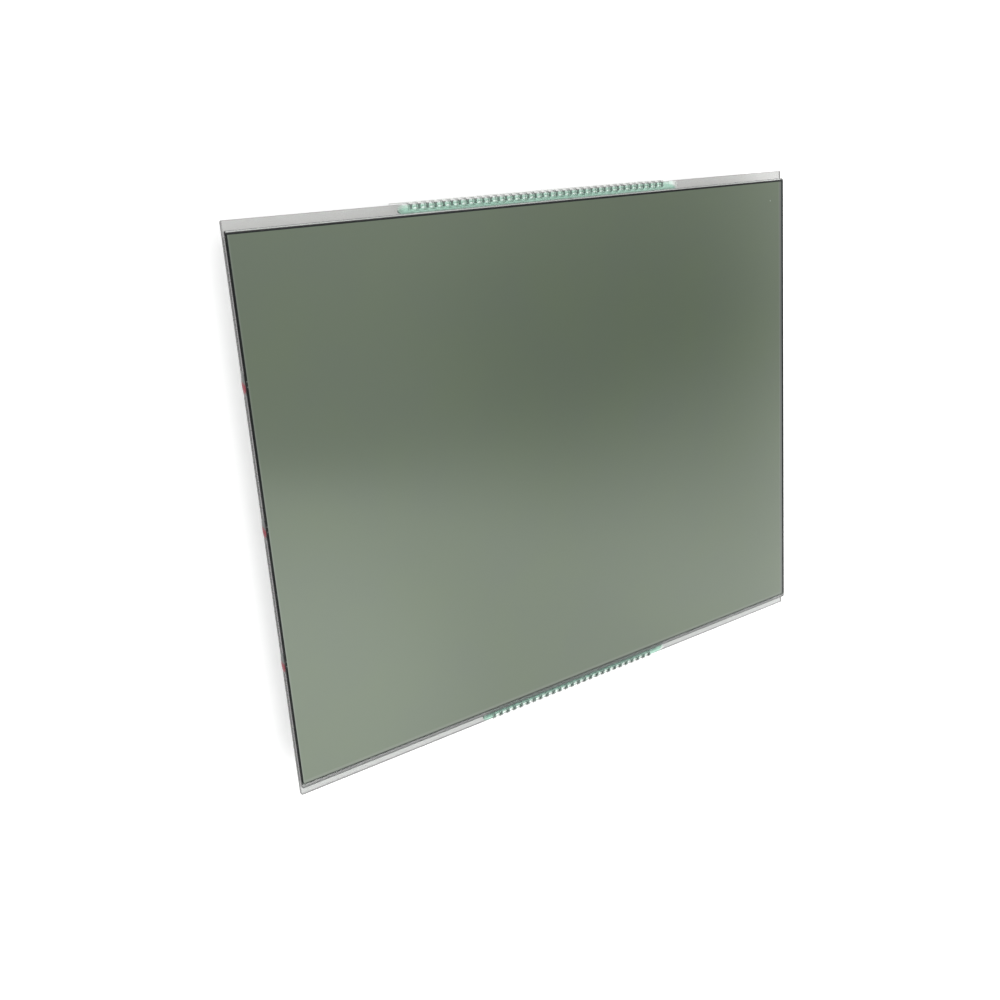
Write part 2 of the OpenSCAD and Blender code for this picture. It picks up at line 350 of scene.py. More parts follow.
def rounded_outline(low, high, inset):
    """A rectangle's points with round corners, drawn in by an inset."""
    radius = CORNER - inset
    points = []
    for turn, (sx, sy) in enumerate(((1, 1), (-1, 1), (-1, -1), (1, -1))):
        corner_x = (high.x if sx > 0 else low.x) - sx * CORNER
        corner_y = (high.y if sy > 0 else low.y) - sy * CORNER
        for step in range(CORNER_STEPS + 1):
            angle = math.radians(90) * (turn + step / CORNER_STEPS)
            points.append((corner_x + radius * math.cos(angle), corner_y + radius * math.sin(angle)))
    return points


def seamed_plate(name, low, high, material):
    """A glass plate with round corners and a small ground chamfer round both faces."""
    bm = bmesh.new()
    rings = []
    for z, inset in ((low.z, SEAM), (low.z + SEAM, 0), (high.z - SEAM, 0), (high.z, SEAM)):
        rings.append([bm.verts.new((x, y, z)) for x, y in rounded_outline(low, high, inset)])
    count = len(rings[0])
    for below, above in zip(rings, rings[1:]):
        for i in range(count):
            j = (i + 1) % count
            bm.faces.new((below[i], below[j], above[j], above[i]))
    bm.faces.new(reversed(rings[0]))
    bm.faces.new(rings[-1])
    return link_mesh(name, bm, material)


glass = cut_glass()
contact = Vector((0, 0, CONTACT_GAP))
rear_plate = seamed_plate("rear_glass_plate", glass_low + contact, glass_high - contact, glass)
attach(rear_plate, "root")
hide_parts("rear_glass")


# Cell between the plates
# A printed epoxy frame holds the plates a few thousandths of a millimetre apart and keeps the liquid
# crystal in. Four dots of silver paste carry the front plate's contacts down to the rear one.
SEAL_TONES = ((0.11, 0.12, 0.11), (0.2, 0.21, 0.19))
PASTE_TONES = ((0.4, 0.4, 0.42), (0.75, 0.75, 0.77))
FLUID_TONES = ((0.86, 0.89, 0.78), (0.92, 0.94, 0.84))


def plain_shader(name, color, roughness, **sockets):
    """A Principled material with its own colour and roughness."""
    material = bpy.data.materials.new(name)
    material.use_nodes = True
    bsdf = material.node_tree.nodes["Principled BSDF"]
    bsdf.inputs["Base Color"].default_value = (*color, 1)
    bsdf.inputs["Roughness"].default_value = roughness
    for key, value in sockets.items():
        bsdf.inputs[key.replace("_", " ")].default_value = value
    return material


def mottle(material, dark, light, scale, bump_depth=0.0):
    """Varies a material's colour between two tones with a fine noise, and its height with it."""
    tree = material.node_tree
    bsdf = tree.nodes["Principled BSDF"]
    place = add(tree, "ShaderNodeTexCoord")
    grain = add(tree, "ShaderNodeTexNoise", {"Vector": place.outputs["Object"], "Scale": scale,
                                             "Detail": 5.0})
    tree.links.new(blend(tree, grain.outputs[0], (*dark, 1), (*light, 1)),
                   bsdf.inputs["Base Color"])
    if bump_depth:
        bump = add(tree, "ShaderNodeBump", {"Height": grain.outputs[0], "Distance": bump_depth})
        tree.links.new(bump.outputs[0], bsdf.inputs["Normal"])
    return material


def dress(node, material):
    """Gives a CAD node its material."""
    slots = frame["nodes"][node].data.materials
    slots.clear()
    slots.append(material)


epoxy = plain_shader("seal_epoxy", SEAL_TONES[1], roughness=0.5)
dress("perimeter_seal", mottle(epoxy, *SEAL_TONES, scale=4000.0))
paste = plain_shader("silver_paste", PASTE_TONES[0], roughness=0.4, Metallic=0.7)
dress("transfer_dots", mottle(paste, *PASTE_TONES, scale=9000.0))
fluid = plain_shader("liquid_crystal", FLUID_TONES[0], roughness=0.05, Transmission_Weight=1.0,
                     IOR=1.55)
dress("liquid_crystal", mottle(fluid, *FLUID_TONES, scale=300.0))


# Front glass plate
# The same glass, shorter by the two ledges and flush with the rear plate at its left and right.
front_plate = seamed_plate("front_glass_plate", front_low + contact, front_high - contact, glass)
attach(front_plate, "root")
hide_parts("front_glass")


# End seals
# Three drops of cured adhesive close the ports in the left edge, where the cell was filled. Each
# stands out of the two plate edges as a small clear cushion, with its red dye gathered low down.
PORTS = ("upper", "middle", "lower")
BEAD_ROWS = 40
BEAD_COLUMNS = 14
BEAD_CLEAR = (0.22, 0.23, 0.225, 1)
BEAD_RED = (0.36, 0.035, 0.06, 1)
BEAD_CLOUD_SCALE = 1500.0
RED_OFFSET = 0.3
RED_LENGTH = 0.58
RED_DEPTH = 0.15 * MM
RED_HEIGHT = 1.5 * MM
RED_RAGGED = 0.3
RED_FADE = (1.25, 0.75)
BEAD_TAPER = 0.45
BEAD_FULLNESS = (0.75, 0.6)


def bead_adhesive(name, centre_y, half_length):
    """Cloudy adhesive with a soft red patch in its lower half."""
    material = plain_shader(name, BEAD_CLEAR[:3], roughness=0.22, Transmission_Weight=0.35, IOR=1.5)
    tree = material.node_tree
    bsdf = tree.nodes["Principled BSDF"]
    place = add(tree, "ShaderNodeTexCoord")
    spot = add(tree, "ShaderNodeSeparateXYZ", {0: place.outputs["Object"]})
    cloud = add(tree, "ShaderNodeTexNoise", {"Vector": place.outputs["Object"],
                                             "Scale": BEAD_CLOUD_SCALE, "Detail": 3.0})
    off_y = maths(tree, "SUBTRACT", spot.outputs["Y"], centre_y - RED_OFFSET * half_length)
    off_y = maths(tree, "DIVIDE", off_y, RED_LENGTH * half_length)
    off_z = maths(tree, "SUBTRACT", spot.outputs["Z"], ledge_z - RED_DEPTH)
    off_z = maths(tree, "DIVIDE", off_z, RED_HEIGHT)
    apart = maths(tree, "SQRT", maths(tree, "MULTIPLY_ADD", off_y, off_y,
                                      maths(tree, "MULTIPLY", off_z, off_z)))
    apart = maths(tree, "MULTIPLY_ADD", cloud.outputs[0], RED_RAGGED, apart)
    red = soft_step(tree, apart, *RED_FADE)
    tree.links.new(blend(tree, red, BEAD_CLEAR, BEAD_RED), bsdf.inputs["Base Color"])
    return material


def end_seal(node, name):
    """The bead as a closed cushion on the plate edges, and its tongue in the port."""
    low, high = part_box(node)
    edge_x = glass_low.x - CONTACT_GAP
    rise = edge_x - low.x
    centre = (low + high) / 2
    half_l = (high.y - low.y) / 2
    half_h = (high.z - low.z) / 2
    bm = bmesh.new()
    grid = []
    along_power, across_power = BEAD_FULLNESS
    for i in range(BEAD_ROWS + 1):
        u = -math.cos(math.pi * i / BEAD_ROWS)
        row = []
        for j in range(BEAD_COLUMNS + 1):
            v = -math.cos(math.pi * j / BEAD_COLUMNS)
            swell = (1 - u * u) ** along_power * (1 - v * v) ** across_power
            width = 1 - BEAD_TAPER * abs(u) ** 3
            point = (edge_x - rise * swell, centre.y + half_l * u, centre.z + half_h * v * width)
            row.append(bm.verts.new(point))
        grid.append(row)
    for i in range(BEAD_ROWS):
        for j in range(BEAD_COLUMNS):
            bm.faces.new((grid[i][j], grid[i + 1][j], grid[i + 1][j + 1], grid[i][j + 1]))
    rim = [row[0] for row in grid] + grid[-1][1:] + [row[-1] for row in reversed(grid[:-1])]
    rim += list(reversed(grid[0][1:-1]))
    bm.faces.new(rim)
    tongue_low = Vector((edge_x, low.y + half_l / 3, ledge_z + CONTACT_GAP))
    tongue_high = Vector((high.x, high.y - half_l / 3, front_low.z - CONTACT_GAP))
    size = tongue_high - tongue_low
    middle = (tongue_low + tongue_high) / 2
    shape = Matrix.Translation(middle) @ Matrix.Diagonal((*size, 1))
    bmesh.ops.create_cube(bm, size=1, matrix=shape)
    bmesh.ops.recalc_face_normals(bm, faces=bm.faces)
    for face in bm.faces:
        face.smooth = len(face.verts) == 4 and abs(face.normal.x) < 0.999
    bead = link_mesh(name, bm, bead_adhesive(name + "_adhesive", centre.y, half_l))
    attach(bead, "root")
    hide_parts(node)


for part in PORTS:
    end_seal("end_seal_" + part, "end_seal_bead_" + part)


# Rear polarizing film and reflector
# A grey polarizing film is laminated behind the rear plate, and an aluminium-coated plastic film
# behind that throws the room's light back through the cell.
REAR_FILM_TONES = ((0.17, 0.19, 0.17), (0.22, 0.24, 0.22))
FOIL_TONES = ((0.66, 0.67, 0.66), (0.78, 0.79, 0.78))
FOIL_RIPPLE = 0.004 * MM

rear_film = plain_shader("rear_film", REAR_FILM_TONES[0], roughness=0.45)
dress("rear_polarizer", mottle(rear_film, *REAR_FILM_TONES, scale=1200.0))
foil = plain_shader("reflector_film", FOIL_TONES[0], roughness=0.38, Metallic=0.85)
dress("reflector", mottle(foil, *FOIL_TONES, scale=2500.0, bump_depth=FOIL_RIPPLE))


# Front polarizing film
# A plastic film with a satin anti-glare face, rolled on to the front plate. Its cut edge shows as a
# black line all round, and the cell's depth as grey bands at its right and bottom.
FILM_COLOR = (0.089, 0.117, 0.073, 1)
FILM_BLOTCH = (0.085, 0.108, 0.079, 1)
FILM_BAND = (0.082, 0.092, 0.081, 1)
FILM_LINE = (0.16, 0.175, 0.158, 1)
FILM_BLACK = (0.006, 0.008, 0.009, 1)
FILM_BLACK_LOW = (0.07, 0.08, 0.07, 1)
FILM_SPECK = (0.3, 0.34, 0.3, 1)
EDGE_LEFT = 0.29 * MM
EDGE_TOP = 0.26 * MM
EDGE_RIGHT = 0.88 * MM
EDGE_BOTTOM = 0.38 * MM
EDGE_BEVEL = 0.03 * MM
BAND_RIGHT = 1.8 * MM
BAND_BOTTOM = 1.15 * MM
BAND_BLUR = 0.1 * MM
BAND_SHARE = 0.3
LINE_WIDTH = 0.35 * MM
LINE_BLUR_LEFT = 0.15 * MM
LINE_SHARE = 0.35
BLOTCH_SCALE = 55.0
TOOTH_SCALE = 9000.0
TOOTH_STRENGTH = 0.15
TOOTH_DEPTH = 0.01 * MM
SPECK_PLACE = (90.5 * MM, 66.9 * MM)
SPECK_RADIUS = 0.22 * MM
SPECK_BLUR = 0.12 * MM
SPECK_SHARE = 0.5
FRAY_SCALE = 1400.0
FRAY_SHARE = 0.12
PALE_EDGE = 0.45 * MM
PORT_EDGE = 0.66 * MM
NICK_WIDTH = 0.14 * MM
NICK_BLUR = 0.06 * MM
NICK_LENGTH = 0.4 * MM
NICK_SHARE = 0.3
CUT_BLUR = 0.05 * MM
port_places = [sum(corner.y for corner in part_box("end_seal_" + part)) / 2 for part in PORTS]


def near(tree, distance, width, blur):
    """1 where a distance is under a width, with a soft step."""
    return soft_step(tree, distance, width + blur, width - blur)


def antiglare_film():
    """Grey-green satin film with a fine anti-glare tooth and the grey depth bands."""
    material = plain_shader("antiglare_film", FILM_COLOR[:3], roughness=0.13, Metallic=0.2)
    tree = material.node_tree
    bsdf = tree.nodes["Principled BSDF"]
    place = add(tree, "ShaderNodeTexCoord").outputs["Object"]
    spot = add(tree, "ShaderNodeSeparateXYZ", {0: place})
    from_left = maths(tree, "SUBTRACT", spot.outputs["X"], film_low.x)
    from_right = maths(tree, "SUBTRACT", film_high.x, spot.outputs["X"])
    from_bottom = maths(tree, "SUBTRACT", spot.outputs["Y"], film_low.y)
    blotch = add(tree, "ShaderNodeTexNoise", {"Vector": place, "Scale": BLOTCH_SCALE,
                                              "Detail": 2.0})
    tone = blend(tree, blotch.outputs[0], FILM_COLOR, FILM_BLOTCH)
    left_line = near(tree, from_left, EDGE_LEFT + LINE_WIDTH, LINE_BLUR_LEFT)
    line = near(tree, from_right, BAND_RIGHT + LINE_WIDTH, BAND_BLUR)
    line = maths(tree, "MAXIMUM", line, left_line)
    tone = blend(tree, maths(tree, "MULTIPLY", line, LINE_SHARE), tone, FILM_LINE)
    low_band = near(tree, from_bottom, BAND_BOTTOM, BAND_BLUR)
    tone = blend(tree, maths(tree, "MULTIPLY", low_band, BAND_SHARE), tone, FILM_LINE)
    tone = blend(tree, near(tree, from_right, BAND_RIGHT, BAND_BLUR), tone, FILM_BAND)
    apart = add(tree, "ShaderNodeVectorMath", {0: place, 1: (*SPECK_PLACE, film_high.z)},
                operation="DISTANCE")
    speck = near(tree, apart.outputs["Value"], SPECK_RADIUS, SPECK_BLUR)
    tone = blend(tree, maths(tree, "MULTIPLY", speck, SPECK_SHARE), tone, FILM_SPECK)
    tree.links.new(tone, bsdf.inputs["Base Color"])
    tooth = add(tree, "ShaderNodeTexNoise", {"Vector": place, "Scale": TOOTH_SCALE,
                                             "Detail": 2.0})
    bump = add(tree, "ShaderNodeBump", {"Height": tooth.outputs[0], "Strength": TOOTH_STRENGTH,
                                        "Distance": TOOTH_DEPTH})
    tree.links.new(bump.outputs[0], bsdf.inputs["Normal"])
    return material


def film_cut_edge():
    """The black cut edge, paler along the bottom, with two light nicks beside each fill port."""
    material = plain_shader("film_cut_edge", FILM_BLACK[:3], roughness=0.55,
                            Specular_IOR_Level=0.03)
    tree = material.node_tree
    bsdf = tree.nodes["Principled BSDF"]
    place = add(tree, "ShaderNodeTexCoord").outputs["Object"]
    spot = add(tree, "ShaderNodeSeparateXYZ", {0: place})
    from_bottom = maths(tree, "SUBTRACT", spot.outputs["Y"], film_low.y)
    from_left = maths(tree, "SUBTRACT", spot.outputs["X"], film_low.x)
    fray = add(tree, "ShaderNodeTexNoise", {"Vector": place, "Scale": FRAY_SCALE, "Detail": 3.0})
    pale = near(tree, from_bottom, PALE_EDGE, CUT_BLUR)
    tone = blend(tree, pale, FILM_BLACK, FILM_BLACK_LOW)
    tone = blend(tree, maths(tree, "MULTIPLY", fray.outputs[0], FRAY_SHARE), tone, FILM_LINE)
    nick = None
    for port_y in port_places:
        off = maths(tree, "ABSOLUTE", maths(tree, "SUBTRACT", spot.outputs["Y"], port_y))
        beside = maths(tree, "ABSOLUTE", maths(tree, "SUBTRACT", off, PORT_EDGE))
        one = near(tree, beside, NICK_WIDTH, NICK_BLUR)
        nick = one if nick is None else maths(tree, "MAXIMUM", nick, one)
    nick = maths(tree, "MULTIPLY", nick, near(tree, from_left, NICK_LENGTH, CUT_BLUR))
    tone = blend(tree, maths(tree, "MULTIPLY", nick, NICK_SHARE), tone, FILM_SPECK)
    tree.links.new(tone, bsdf.inputs["Base Color"])
    return material


def laminated_film():
    """The film as a thin sheet with a cut border all round."""
    bm = bmesh.new()
    rings = []
    for z, left, right, bottom, top in (
            (film_low.z + CONTACT_GAP, 0, 0, 0, 0),
            (film_high.z - EDGE_BEVEL, 0, 0, 0, 0),
            (film_high.z, EDGE_BEVEL, EDGE_BEVEL, EDGE_BEVEL, EDGE_BEVEL),
            (film_high.z, EDGE_LEFT, EDGE_RIGHT, EDGE_BOTTOM, EDGE_TOP)):
        x0, x1 = film_low.x + left, film_high.x - right
        y0, y1 = film_low.y + bottom, film_high.y - top
        rings.append([bm.verts.new((x, y, z)) for x, y in ((x0, y0), (x1, y0), (x1, y1), (x0, y1))])
    for below, above in zip(rings, rings[1:]):
        for i in range(4):
            j = (i + 1) % 4
            bm.faces.new((below[i], below[j], above[j], above[i])).material_index = 1
    bm.faces.new(reversed(rings[0])).material_index = 1
    bm.faces.new(rings[-1]).material_index = 0
    return link_mesh("front_film", bm, antiglare_film(), film_cut_edge())


front_film = laminated_film()
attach(front_film, "root")
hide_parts("front_polarizer")


# Clip pins
# Each pin is stamped from tin-plated strip. Its finger presses on a contact pad on the ledge, its
# wide web wraps the glass edge, two fingers grip the back, and its leg goes down to the board.
PIN_T = 0.28 * MM
PIN_EDGE = 0.04 * MM
CLIP_GAP = 0.05 * MM
CLIP_W = 1.0 * MM
FINGER_W = 0.5 * MM
FINGER_L = 1.45 * MM
# The finger's rounded tip: distance from its end and share of its width.
FINGER_TIP = ((0.0, 0.6), (0.1 * MM, 0.9), (0.3 * MM, 1.0))
ROOT_L = 0.3 * MM
# The finger widens to the web from this far before its root to this far after it.
ROOT_TAPER = (0.15 * MM, 0.05 * MM)
LEG_W = 0.5 * MM
TIP_W = 0.26 * MM
TIP_TAPER = 0.8 * MM
SHOULDER = 0.25 * MM
GRIP_W = 0.22 * MM
GRIP_L = 2.0 * MM
GRIP_OUT = 0.29 * MM
GRIP_TUCK = 0.02 * MM
BEND_R = 0.16 * MM
BEND_STEPS = 6
# The finger's and root's darker tones are painted shade under the resin, partly their own duller tin.
FINGER_TIN_SHADE_DARK = (0.07, 0.075, 0.075, 1)
FINGER_TIN_SHADE_LIGHT = (0.2, 0.21, 0.205, 1)
ROOT_TIN_SHADE_DARK = (0.14, 0.15, 0.145, 1)
ROOT_TIN_SHADE_LIGHT = (0.32, 0.33, 0.32, 1)
LEG_DARK = (0.5, 0.51, 0.5, 1)
LEG_LIGHT = (0.78, 0.79, 0.77, 1)
TIN_GRAIN_SCALE = 1800.0
TIN_GRAIN_DEPTH = 0.01 * MM
ROOT_FADE = 0.7 * MM
# The solder dip starts at the plate's rear face and at its edge, counted from each of them.
DIP_FADE = (0.25 * MM, 0.0)
DIP_PAST_EDGE = (-0.14 * MM, 0.02 * MM)
pin_mounts = {m["name"]: m for m in frame["record"]["mounts"] if m["name"].endswith("pin_row")}


def strip(bm, path, widths):
    """Sweeps a sheet-metal section with eased edges along a path in the pin's side plane."""
    rings = []
    half_t = PIN_T / 2
    for i, (point, width) in enumerate(zip(path, widths)):
        before = path[max(i - 1, 0)]
        after = path[min(i + 1, len(path) - 1)]
        run = (Vector(after) - Vector(before)).normalized()
        across = Vector((-run.y, run.x))
        half_w = width / 2
        section = ((-half_w, -half_t + PIN_EDGE), (-half_w + PIN_EDGE, -half_t),
                   (half_w - PIN_EDGE, -half_t), (half_w, -half_t + PIN_EDGE),
                   (half_w, half_t - PIN_EDGE), (half_w - PIN_EDGE, half_t),
                   (-half_w + PIN_EDGE, half_t), (-half_w, half_t - PIN_EDGE))
        rings.append([bm.verts.new((a, point[0] + across.x * b, point[1] + across.y * b))
                      for a, b in section])
    for one, two in zip(rings, rings[1:]):
        for i in range(len(one)):
            j = (i + 1) % len(one)
            bm.faces.new((one[i], one[j], two[j], two[i]))
    bm.faces.new(rings[0])
    bm.faces.new(reversed(rings[-1]))


def clip_pin(metal):
    """One pin at the top edge, centred on X = 0."""
    edge_y = glass_high.y
    finger_z = ledge_z + PIN_T / 2 + CONTACT_GAP
    web_y = edge_y + CLIP_GAP + BEND_R
    grip_z = glass_low.z - PIN_T / 2 - CONTACT_GAP
    web_end = grip_z - PIN_T / 2
    path = [(edge_y - FINGER_L + along_tip, finger_z) for along_tip, share in FINGER_TIP]
    widths = [share * FINGER_W for along_tip, share in FINGER_TIP]
    before, after = ROOT_TAPER
    path += [(edge_y - ROOT_L - before, finger_z), (edge_y - ROOT_L + after, finger_z)]
    widths += [FINGER_W, CLIP_W]
    for step in range(BEND_STEPS + 1):
        angle = math.radians(90) * (1 - step / BEND_STEPS)
        path.append((web_y - BEND_R + BEND_R * math.cos(angle),
                     finger_z - BEND_R + BEND_R * math.sin(angle)))
        widths.append(CLIP_W)
    path += [(web_y, web_end), (web_y, web_end - SHOULDER), (web_y, TIP_TAPER), (web_y, 0)]
    widths += [CLIP_W, LEG_W, LEG_W, TIP_W]
    bm = bmesh.new()
    strip(bm, path, widths)
    for side in (-1, 1):
        old = set(bm.verts)
        strip(bm, [(edge_y - GRIP_L, grip_z), (web_y - GRIP_TUCK, grip_z)], [GRIP_W, GRIP_W])
        new = [v for v in bm.verts if v not in old]
        bmesh.ops.translate(bm, verts=new, vec=(side * GRIP_OUT, 0, 0))
    bmesh.ops.recalc_face_normals(bm, faces=bm.faces)
    return link_mesh("clip_pin", bm, metal)


def tin_plate():
    """Dull tin over steel, darker on the finger than on the solder-dipped web and leg. The finger's
    darkness is painted shade under the resin, partly its own duller tin.
    """
    material = plain_shader("tin_plate", ROOT_TIN_SHADE_LIGHT[:3], roughness=0.42, Metallic=0.8)
    tree = material.node_tree
    bsdf = tree.nodes["Principled BSDF"]
    place = add(tree, "ShaderNodeTexCoord").outputs["Object"]
    spot = add(tree, "ShaderNodeSeparateXYZ", {0: place})
    grain = add(tree, "ShaderNodeTexNoise", {"Vector": place, "Scale": TIN_GRAIN_SCALE,
                                             "Detail": 5.0})
    finger = blend(tree, grain.outputs[0], FINGER_TIN_SHADE_DARK, FINGER_TIN_SHADE_LIGHT)
    root = blend(tree, grain.outputs[0], ROOT_TIN_SHADE_DARK, ROOT_TIN_SHADE_LIGHT)
    leg = blend(tree, grain.outputs[0], LEG_DARK, LEG_LIGHT)
    out = maths(tree, "ABSOLUTE", spot.outputs["Y"])
    near_edge = soft_step(tree, out, glass_high.y - ROOT_FADE, glass_high.y)
    # Painted shade on the finger under the resin, easing to the root's lighter tin near the glass
    # edge.
    finger_tin_shade = blend(tree, near_edge, finger, root)
    under_glass = soft_step(tree, spot.outputs["Z"], *(glass_low.z + fade for fade in DIP_FADE))
    past_glass = soft_step(tree, out, *(glass_high.y + fade for fade in DIP_PAST_EDGE))
    dipped = maths(tree, "MAXIMUM", under_glass, past_glass)
    tree.links.new(blend(tree, dipped, finger_tin_shade, leg), bsdf.inputs["Base Color"])
    bump = add(tree, "ShaderNodeBump", {"Height": grain.outputs[0],
                                        "Distance": TIN_GRAIN_DEPTH})
    tree.links.new(bump.outputs[0], bsdf.inputs["Normal"])
    return material


def pin_row_tree(metal):
    """A Geometry Nodes tree that sets one pin along a row."""
    tree = bpy.data.node_groups.new("pin_row", "GeometryNodeTree")
    tree.is_modifier = True
    face = tree.interface
    face.new_socket("Geometry", in_out="INPUT", socket_type="NodeSocketGeometry")
    keys = {}
    for label, kind in (("Pin", "Object"), ("Count", "Int"), ("Pitch", "Float"),
                        ("Row centre", "Float"), ("Turn", "Float")):
        socket = face.new_socket(label, in_out="INPUT", socket_type="NodeSocket" + kind)
        keys[label] = socket.identifier
    face.new_socket("Geometry", in_out="OUTPUT", socket_type="NodeSocketGeometry")
    given = add(tree, "NodeGroupInput")
    gaps = maths(tree, "SUBTRACT", given.outputs["Count"], 1.0)
    half = maths(tree, "MULTIPLY", maths(tree, "MULTIPLY", gaps, given.outputs["Pitch"]), 0.5)
    start = add(tree, "ShaderNodeCombineXYZ",
                {"X": maths(tree, "SUBTRACT", given.outputs["Row centre"], half)})
    step = add(tree, "ShaderNodeCombineXYZ", {"X": given.outputs["Pitch"]})
    line = add(tree, "GeometryNodeMeshLine", {"Count": given.outputs["Count"],
                                              "Start Location": start.outputs[0],
                                              "Offset": step.outputs[0]})
    pin = add(tree, "GeometryNodeObjectInfo", {"Object": given.outputs["Pin"]})
    turn = add(tree, "ShaderNodeCombineXYZ", {"Z": given.outputs["Turn"]})
    placed = add(tree, "GeometryNodeInstanceOnPoints", {"Points": line.outputs[0],
                                                        "Instance": pin.outputs["Geometry"],
                                                        "Rotation": turn.outputs[0]})
    real = add(tree, "GeometryNodeRealizeInstances", {0: placed.outputs[0]})
    finished = add(tree, "GeometryNodeSetMaterial", {"Geometry": real.outputs[0],
                                                     "Material": metal})
    add(tree, "NodeGroupOutput", {0: finished.outputs[0]})
    return tree, keys


def grow(name, tree, keys, values, material):
    """Runs a Geometry Nodes tree with its inputs and keeps the result as a plain mesh."""
    holder = link_mesh(name + "_holder", bmesh.new())
    modifier = holder.modifiers.new("grow", "NODES")
    modifier.node_group = tree
    for label, value in values.items():
        modifier[keys[label]] = value
    grown = holder.evaluated_get(bpy.context.evaluated_depsgraph_get())
    mesh = bpy.data.meshes.new_from_object(grown)
    mesh.name = name
    bpy.data.objects.remove(holder)
    if not mesh.materials:
        mesh.materials.append(material)
    piece = bpy.data.objects.new(name, mesh)
    bpy.context.scene.collection.objects.link(piece)
    return piece


tin = tin_plate()
pin = clip_pin(tin)
row_tree, row_keys = pin_row_tree(tin)
for side, turn in (("top", 0.0), ("bottom", math.pi)):
    mount = pin_mounts[side + "_pin_row"]
    row = grow(side + "_clip_pins", row_tree, row_keys,
               {"Pin": pin, "Count": int(mount["dims"]["count"]),
                "Pitch": mount["dims"]["spacing_x_mm"] * MM, "Row centre": mount["pos_m"][0],
                "Turn": turn}, tin)
    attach(row, "root")
    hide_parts(side + "_pins")
bpy.data.objects.remove(pin)


# Resin over the pins
# A clear green adhesive, cured by ultraviolet light, is run along each ledge over the fingers. It
# climbs the front plate's edge and each finger, and thins to a clear dimple between each two pins.
RESIN_STEPS = 20
RESIN_ACROSS = 24
RESIN_FILM = 0.06 * MM
RESIN_BODY = 0.24 * MM
RESIN_COVER = 0.1 * MM
RESIN_LIP = 0.35 * MM
RESIN_RING = 0.12 * MM
RESIN_TAPER = 2.2 * MM
RESIN_NOSE = 1.2 * MM
NOSE_LEAN = 0.8
NOSE_INNER_LIMIT = 0.45
NOSE_OUTER_LIMIT = 0.5
CLIMB_SHARE = 0.72
CLIMB_POWER = 1.3
HUG_WIDTH = 0.45 * MM
HUG_START = 0.7 * MM
HUG_RAMP = 0.3 * MM
RING_AT = 1.3
RING_SPREAD = 0.3
BAY_REACH = 1.25
BAY_SOFTNESS = 0.5
TAIL_LENGTH = 3 * MM
TAIL_FADE = 0.3
THIN_FADE = (0.07 * MM, 0.34 * MM)
DEEP_FADE = (0.6 * MM, 1.5 * MM)
RESIN_CLEAR = 0.99
RESIN_CLOUDING = 0.1
RESIN_CLOUD_SCALE = 700.0
RESIN_THIN = (0.95, 1.0, 0.97, 1)
RESIN_THICK = (0.36, 0.6, 0.49, 1)
RESIN_CLOUD = (0.47, 0.69, 0.58, 1)
RESIN_DEEP_AND_SHADE = (0.15, 0.27, 0.22, 1)
# Each row's bays: half width, half depth, distance of the middle from the outer edge. The last
# number scales the depth that sets the green; the bottom row's larger one is painted shade.
BAYS = {"top": (0.95 * MM, 0.42 * MM, 1.18 * MM, 1.0),
        "bottom": (0.8 * MM, 0.6 * MM, 0.5 * MM, 2.1)}


def uv_resin():
    """Resin that is clear where it is thin and green where it is deep, with faint cloudy streaks.
    Its depth is scaled up along the bottom row, so the deeper green there is painted shade.
    """
    material = plain_shader("uv_resin", RESIN_THICK[:3], roughness=0.05, IOR=1.48)
    tree = material.node_tree
    bsdf = tree.nodes["Principled BSDF"]
    place = add(tree, "ShaderNodeTexCoord").outputs["Object"]
    depth = add(tree, "ShaderNodeAttribute", attribute_name="resin_depth_and_shade").outputs["Fac"]
    cloud = add(tree, "ShaderNodeTexNoise", {"Vector": place, "Scale": RESIN_CLOUD_SCALE,
                                             "Detail": 4.0})
    thick = soft_step(tree, depth, *THIN_FADE)
    green = blend(tree, cloud.outputs[0], RESIN_THICK, RESIN_CLOUD)
    green = blend(tree, soft_step(tree, depth, *DEEP_FADE), green, RESIN_DEEP_AND_SHADE)
    tree.links.new(blend(tree, thick, RESIN_THIN, green), bsdf.inputs["Base Color"])
    clear = maths(tree, "MULTIPLY_ADD", thick, -RESIN_CLOUDING, RESIN_CLEAR)
    tree.links.new(clear, bsdf.inputs["Transmission Weight"])
    return material


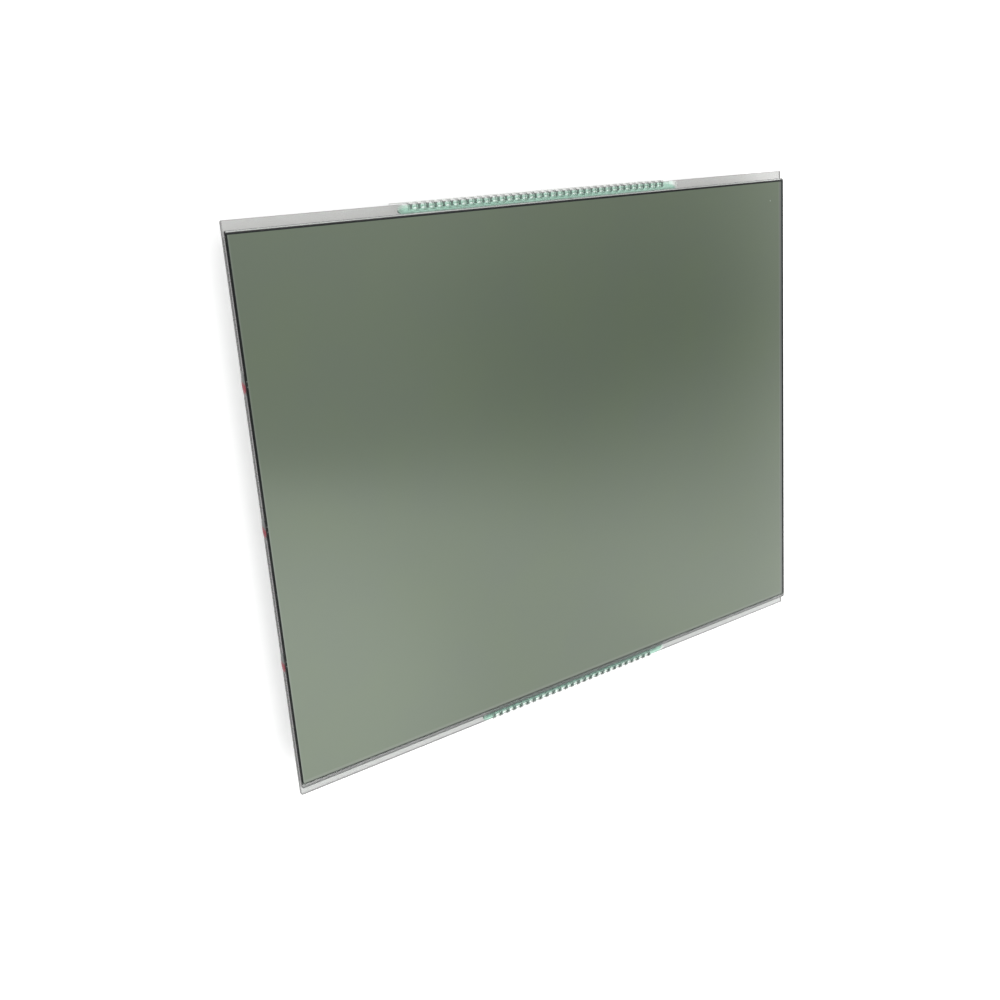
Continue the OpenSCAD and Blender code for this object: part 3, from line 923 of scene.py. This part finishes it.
def resin_bead(side, sign, material):
    """The resin of one row as a height over the ledge, with round ends and a dimple in each bay."""
    node = side + "_pin_resin"
    low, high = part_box(node)
    mount = pin_mounts[side + "_pin_row"]
    count = int(mount["dims"]["count"])
    pitch = mount["dims"]["spacing_x_mm"] * MM
    first = mount["pos_m"][0] - (count - 1) / 2 * pitch
    last = first + (count - 1) * pitch
    inner_y = front_high.y if sign > 0 else front_low.y
    outer_y = high.y if sign > 0 else low.y
    depth = abs(outer_y - inner_y) - CONTACT_GAP
    rise = high.z - low.z - CONTACT_GAP
    base_z = low.z + CONTACT_GAP
    columns = int((high.x - low.x) / pitch * RESIN_STEPS)
    bay_half_w, bay_half_d, bay_inset, depth_shade_scale = BAYS[side]

    def span(x):
        """Where the resin starts and ends across the ledge, drawn in round its two noses."""
        end = min(x - low.x, high.x - x)
        draw = 0
        if end < RESIN_NOSE:
            draw = RESIN_NOSE - math.sqrt(max(RESIN_NOSE ** 2 - (RESIN_NOSE - end) ** 2, 0))
        inner = min(NOSE_LEAN * draw, NOSE_INNER_LIMIT * depth)
        return inner, depth - min(draw, NOSE_OUTER_LIMIT * depth)

    def height(x, across, start, stop):
        """The resin's height at a place across the ledge, counted from the front plate."""
        nearest = min(max(round((x - first) / pitch), 0), count - 1)
        off_pin = abs(x - first - nearest * pitch) / HUG_WIDTH
        on_finger = min(max((across - HUG_START) / HUG_RAMP, 0), 1)
        hug = math.exp(-off_pin ** 4) * (PIN_T + RESIN_COVER - RESIN_BODY) * on_finger
        body = RESIN_BODY
        if first < x < last:
            from_middle = ((x - first) / pitch % 1 - 0.5) * pitch / bay_half_w
            from_bay = (across - (depth - bay_inset)) / bay_half_d
            ring = math.hypot(from_middle, from_bay)
            open_bay = min(max((BAY_REACH - ring) / BAY_SOFTNESS, 0), 1)
            open_bay = open_bay * open_bay * (3 - 2 * open_bay)
            raised = math.exp(-((ring - RING_AT) / RING_SPREAD) ** 2)
            body += RESIN_RING * raised * (1 - open_bay)
            body = body * (1 - open_bay) + RESIN_FILM * open_bay
        fade = 1.0
        if x > last + pitch:
            fade = 1 - (1 - TAIL_FADE) * min((x - last - pitch) / TAIL_LENGTH, 1)
        up_wall = max(1 - across / (CLIMB_SHARE * depth), 0)
        climb = (rise - RESIN_BODY) * up_wall ** CLIMB_POWER
        edge = min(min(stop - across, across - start if start > 0.02 * MM else 1) / RESIN_LIP, 1)
        end = min(min(x - low.x, high.x - x) / RESIN_TAPER, 1)
        edge = max(min(edge, end), 0)
        total = (body + max(hug, 0) + climb) * fade
        return total * math.sqrt(edge * (2 - edge))

    bm = bmesh.new()
    depth_and_shade = bm.verts.layers.float.new("resin_depth_and_shade")
    top, bottom = [], []
    for i in range(columns + 1):
        x = low.x + CONTACT_GAP + (high.x - low.x - 2 * CONTACT_GAP) * i / columns
        start, stop = span(x)
        top_row, bottom_row = [], []
        for j in range(RESIN_ACROSS + 1):
            across = start + (stop - start) * j / RESIN_ACROSS
            y = inner_y + sign * (CONTACT_GAP + across)
            rise_here = min(height(x, across, start, stop), rise - CONTACT_GAP)
            top_row.append(bm.verts.new((x, y, base_z + rise_here + CONTACT_GAP)))
            bottom_row.append(bm.verts.new((x, y, base_z)))
            # The depth is scaled by the row's last BAYS number; the bottom row's larger one is
            # painted shade.
            top_row[-1][depth_and_shade] = rise_here * depth_shade_scale
            bottom_row[-1][depth_and_shade] = rise_here * depth_shade_scale
        top.append(top_row)
        bottom.append(bottom_row)
    for i in range(columns):
        for j in range(RESIN_ACROSS):
            bm.faces.new((top[i][j], top[i + 1][j], top[i + 1][j + 1], top[i][j + 1]))
            bm.faces.new((bottom[i][j], bottom[i][j + 1], bottom[i + 1][j + 1], bottom[i + 1][j]))
        for j in (0, RESIN_ACROSS):
            bm.faces.new((top[i][j], bottom[i][j], bottom[i + 1][j], top[i + 1][j]))
    for i in (0, columns):
        for j in range(RESIN_ACROSS):
            bm.faces.new((top[i][j], top[i][j + 1], bottom[i][j + 1], bottom[i][j]))
    bmesh.ops.recalc_face_normals(bm, faces=bm.faces)
    for face in bm.faces:
        face.smooth = face.calc_center_median().z > base_z + 1e-6 and face.normal.z > 0.1
    bead = link_mesh(side + "_resin_bead", bm, material)
    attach(bead, "root")
    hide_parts(node)


resin = uv_resin()
resin_bead("top", 1, resin)
resin_bead("bottom", -1, resin)
